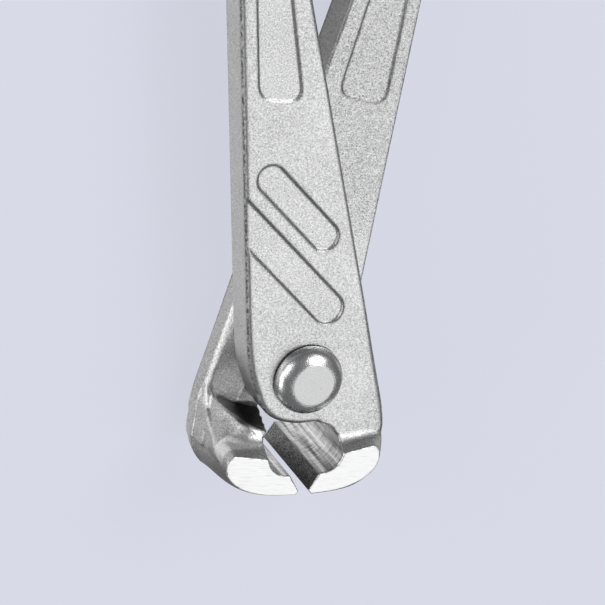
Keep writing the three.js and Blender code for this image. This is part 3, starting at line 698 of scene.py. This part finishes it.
def make_rivet(finish):
    """Profile of radius and height turned about the pivot: shank, underside, domed flank and flat,
    above and below."""
    shoulder, brow = (RIVET_HEAD, HALF_JAW - 1.2), (RIVET_FLAT + 0.25, HALF_JAW - 0.1)
    dome = bend((RIVET_HEAD, RIVET_UNDER + 0.3), shoulder, brow, 16)
    lip = bend(dome[-1], (RIVET_FLAT, HALF_JAW), (RIVET_FLAT - 0.35, HALF_JAW), 5)
    upper = np.concatenate([
        [(RIVET_SHANK, 0), (RIVET_SHANK, RIVET_UNDER)],
        [(RIVET_HEAD - 0.2, RIVET_UNDER), (RIVET_HEAD, RIVET_UNDER + 0.15)],
        dome, lip[1:], [(RIVET_FLAT * 0.6, HALF_JAW), (0.2, HALF_JAW)]])
    profile = np.concatenate([(upper * (1, -1))[:0:-1], upper])
    turn = np.linspace(0, 2 * math.pi, 97)[:-1]
    radius, height = profile[:, :1], profile[:, 1:]
    rings = np.stack([radius * np.cos(turn), radius * np.sin(turn), height + HALF_JAW + 0 * turn], -1)
    points, faces, ends = tube(rings)
    reach, up = np.hypot(points[:, 0], points[:, 1]), np.abs(points[:, 2] - HALF_JAW)
    marks = {"flat": (reach < RIVET_FLAT) * (up > HALF_JAW - 0.05) * 1.0,
             # Painted shade round the head's foot
             "foot": smooth(RIVET_UNDER + 0.35, RIVET_UNDER + 0.1, up) * (reach > RIVET_SHANK)}
    return piece("pivot_rivet_head", points, faces, finish, "rear_half", "pivot_rivet",
                 ends, marks)


def make_grip(name, place, body, finish):
    """Rounded oblong sleeve along the handle: a rolled lip in front and a domed end."""
    t = np.concatenate([np.linspace(0, 1, 15) ** 1.5 * 0.1, np.linspace(0.1, 1, 90)[1:]])
    y = GRIP_START + (TOOL_END - GRIP_END_ROUND - GRIP_START) * t
    lip = GRIP_LIP * (1 - smooth(GRIP_START, GRIP_START + GRIP_LIP_LENGTH, y))
    grow = GRIP_WALL + lip - 0.9 * np.clip(1 - (y - GRIP_START) / 0.9, 0, 1) ** 2
    turn = np.linspace(0, math.pi / 2, 12)[1:-1]
    y = np.concatenate([[GRIP_START], y, TOOL_END - GRIP_END_ROUND + GRIP_END_ROUND * np.sin(turn)])
    grow = np.concatenate([[0.35], grow, GRIP_WALL - GRIP_END_ROUND * (1 - np.cos(turn))])
    x0, z0, _ = handle_middle(y)
    around = np.linspace(0, 2 * math.pi, 65)[:-1]
    cx = np.sign(np.cos(around)) * np.abs(np.cos(around)) ** GRIP_SQUARENESS
    cz = np.sign(np.sin(around)) * np.abs(np.sin(around)) ** GRIP_SQUARENESS
    rings = np.stack([x0[:, None] + (HANDLE_HALF_WIDTH + grow)[:, None] * cx, y[:, None] + 0 * cx,
                      z0[:, None] + (HANDLE_HALF_THICKNESS + grow)[:, None] * cz], -1)
    points, faces, ends = tube(rings[:, ::-1])
    return piece(name, place(points), faces, finish, body, name.replace("_sleeve", ""), ends)


# Studio

def floor():
    """Pale lavender sheet under the tool; it shows its own colour evenly and keeps a soft shadow.
    In the metal it mirrors as neutral grey, and darker in front of the jaws and between the
    handles."""
    f = Finish("pale_floor")
    colour = (0.68, 0.70, 0.79, 1)
    rays = f.node("ShaderNodeLightPath")
    seen, mirrored = (Wire(f, rays.outputs[name]) for name in ("Is Camera Ray", "Is Glossy Ray"))
    lit = f.wire("ShaderNodeBsdfDiffuse", {}, {"Color": colour})
    between = f.along(0).ease(-14.0, -6.0) * f.along(1).ease(30.0, 45.0)
    tone = f.mix(f.along(1).ease(-36.0, -18.0) * (1 - between * 0.75), grey(0.16), grey(0.7))
    glow = f.wire("ShaderNodeEmission", {}, {"Color": f.mix(mirrored, colour, tone), "Strength": 1.05})
    mixed = f.wire("ShaderNodeMixShader", {}, {0: seen * 0.8 + mirrored, 1: lit, 2: glow})
    f.node("ShaderNodeOutputMaterial", {}, {0: mixed})
    mesh = bpy.data.meshes.new("floor")
    corners = [(-3, -3, -0.0003), (3, -3, -0.0003), (3, 3, -0.0003), (-3, 3, -0.0003)]
    mesh.from_pydata(corners, [], [(0, 1, 2, 3)])
    mesh.materials.append(f.material)
    made = bpy.data.objects.new("floor", mesh)
    bpy.context.scene.collection.objects.link(made)


def softbox(name, towards, size, brightness):
    """Area lamp two metres away in that direction, facing the tool; its power is pi times area
    times brightness."""
    lamp = bpy.data.lights.new(name, "AREA")
    lamp.shape, lamp.size, lamp.size_y = "RECTANGLE", size[0], size[1]
    lamp.energy = math.pi * size[0] * size[1] * brightness
    made = bpy.data.objects.new(name, lamp)
    towards = Vector(towards).normalized()
    made.location = towards * 2
    made.rotation_euler = towards.to_track_quat("Z", "Y").to_euler()
    made.visible_camera = False
    bpy.context.scene.collection.objects.link(made)


def studio():
    floor()
    world = bpy.data.worlds.new("studio")
    world.use_nodes = True
    world.node_tree.nodes["Background"].inputs["Color"].default_value = (0.95, 0.96, 1.0, 1)
    world.node_tree.nodes["Background"].inputs["Strength"].default_value = 0.16
    bpy.context.scene.world = world
    softbox("overhead", (0.37, -0.37, 0.85), (2.2, 2.2), 1.25)
    softbox("key", (0.42, 0.5, 0.76), (0.9, 0.9), 5.0)
    softbox("left", (-0.94, -0.2, 0.25), (1.4, 0.7), 3.0)
    softbox("upper_left", (-0.8, 0.33, 0.5), (0.9, 0.9), 3.5)


def camera():
    """The photograph's viewpoint, looking down on the pivot from the outer side of the front lever."""
    lens = bpy.data.cameras.new("camera")
    lens.lens, lens.sensor_width = 139.374, 36
    made = bpy.data.objects.new("camera", lens)
    made.location = (-0.17625, 0.18688, 0.41867)
    made.rotation_euler = tuple(math.radians(a) for a in (-23.6257, -21.4950, 5.6107))
    bpy.context.scene.collection.objects.link(made)
    bpy.context.scene.camera = made


make_lever("front_lever_forging", [UPPER_FIELD, LOWER_FIELD], front_place, "front_half",
           zinc_forging("front_lever_zinc", 0.8))
make_lever("rear_lever_forging", [], rear_place, "rear_half",
           zinc_forging("rear_lever_zinc", 1.2))
make_rivet(rivet_steel())
make_grip("front_grip_sleeve", front_place, "front_half",
          dipped_plastic("front_grip_plastic"))
make_grip("rear_grip_sleeve", rear_place, "rear_half",
          dipped_plastic("rear_grip_plastic"))
studio()
camera()
bpy.context.scene.view_settings.view_transform = "Standard"

bpy.context.view_layer.update()
